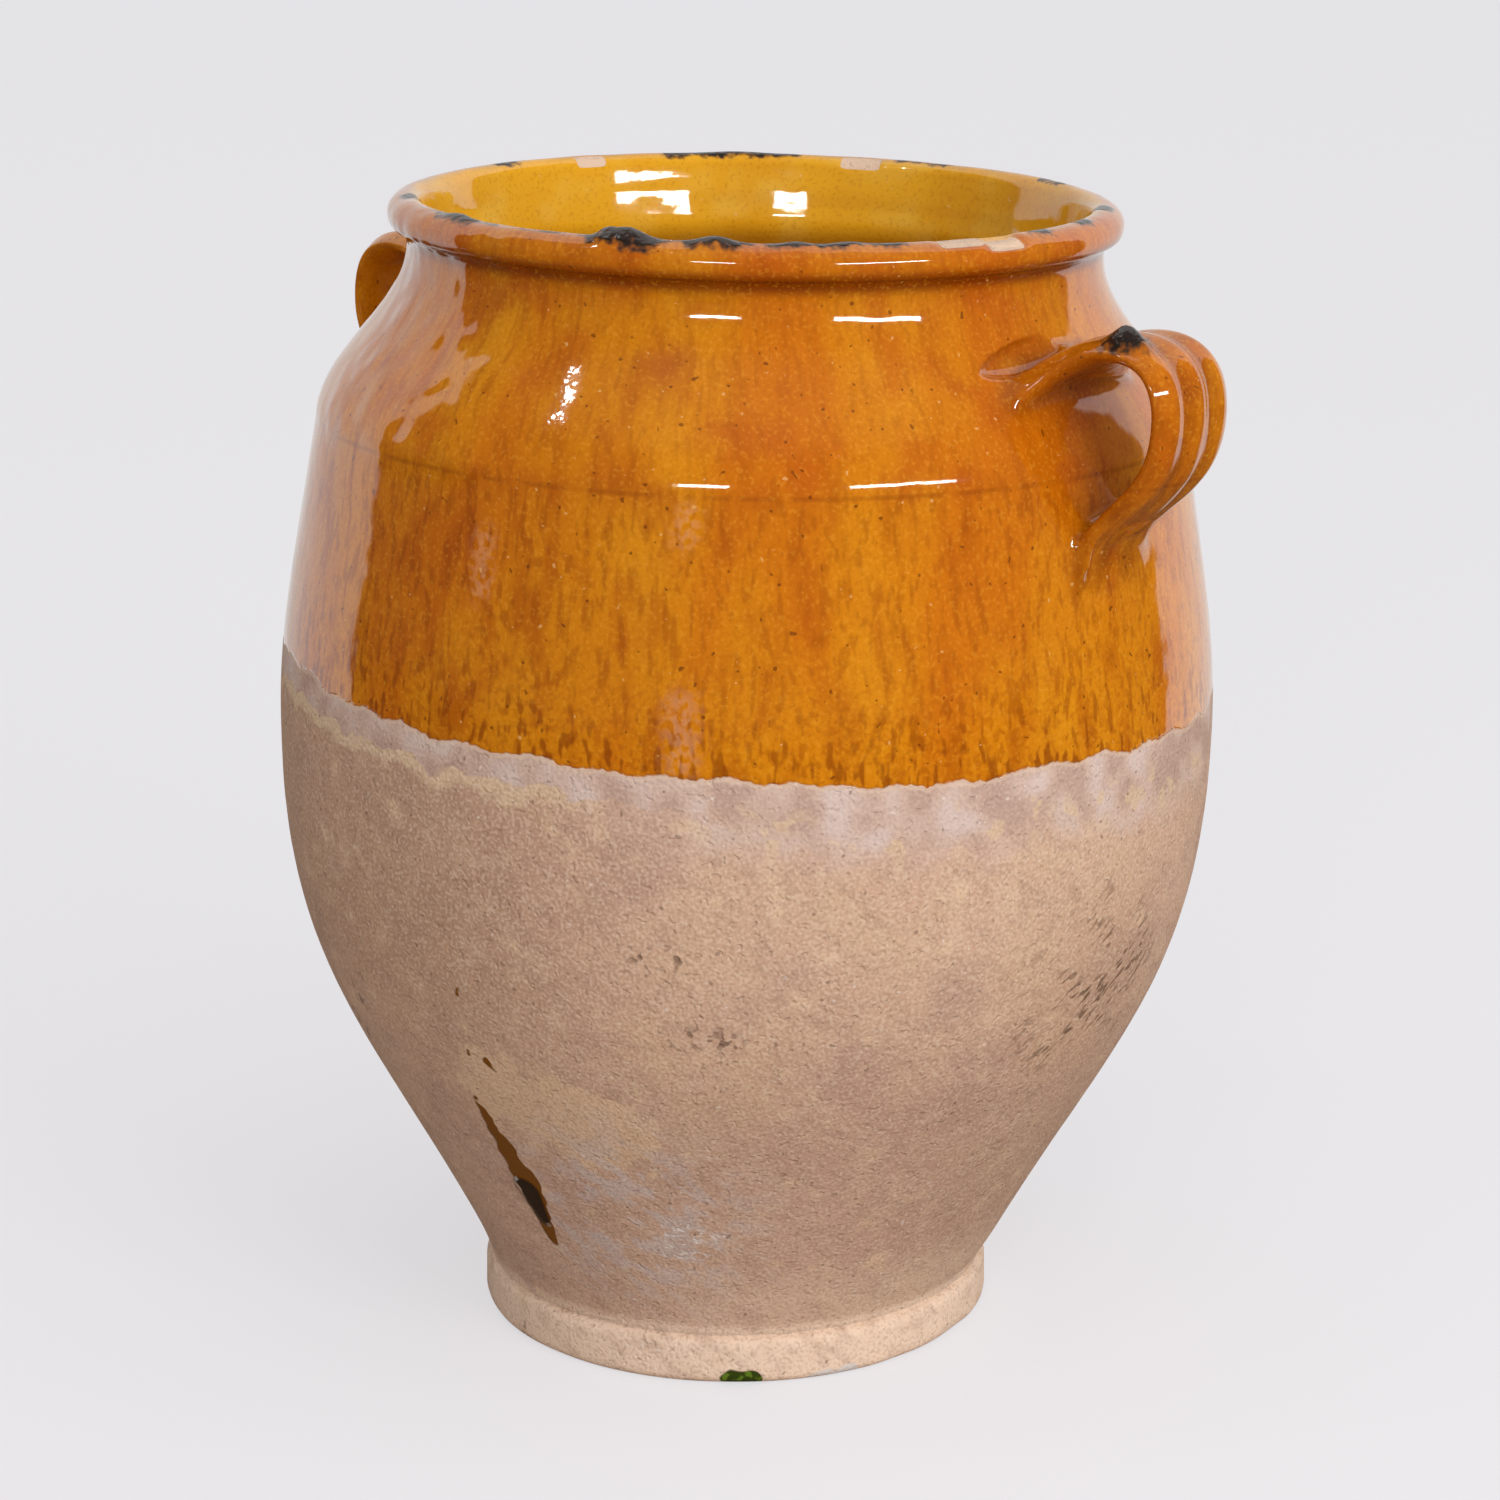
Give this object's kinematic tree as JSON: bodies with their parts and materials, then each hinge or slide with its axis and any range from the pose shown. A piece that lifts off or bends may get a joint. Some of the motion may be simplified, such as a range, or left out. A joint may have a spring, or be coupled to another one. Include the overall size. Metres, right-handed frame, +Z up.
{
  "type": "confit pot",
  "caption": "Tall earthenware storage jar with a rounded belly, creased shoulder, rolled rim, turned foot and two ribbed strap handles; glazed above, bare clay below.",
  "frame": {"origin": "centre of the foot's flat face, on the surface the pot stands on", "axes": "+Z up the pot; +X through the first handle, with the second handle close to -X"},
  "size_m": [0.2937, 0.26, 0.3201],
  "materials": {
    "earthenware": "glossy amber lead glaze above, bare buff clay below"
  },
  "bodies": {
    "root": {"pot": "earthenware"}
  },
  "joints": []
}
